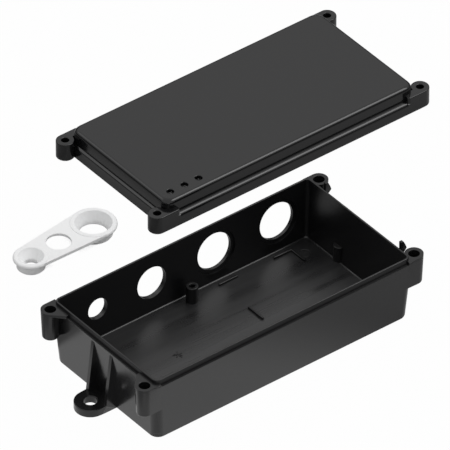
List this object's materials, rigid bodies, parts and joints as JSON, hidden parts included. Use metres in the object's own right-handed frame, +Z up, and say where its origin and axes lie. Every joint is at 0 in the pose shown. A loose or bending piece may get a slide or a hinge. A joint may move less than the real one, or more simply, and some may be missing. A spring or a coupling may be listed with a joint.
{
  "type": "plastic project box",
  "caption": "Black plastic project box: open tray with screw bosses, mounting lugs and cable holes in its back wall, its lid taken off, and a white strip of cable bushes.",
  "frame": {"origin": "centre of the tray's underside, on the surface that all three pieces lie on", "axes": "+X along the box's length, towards the side with the two guide fins; +Y towards the wall with the cable holes; +Z up"},
  "size_m": [0.262, 0.1913, 0.0349],
  "materials": {
    "black_plastic": "satin moulded ABS",
    "white_plastic": "soft satin polyethylene"
  },
  "bodies": {
    "root": {"base": "black_plastic", "lid": "black_plastic", "bush_strip": "white_plastic"}
  },
  "joints": []
}
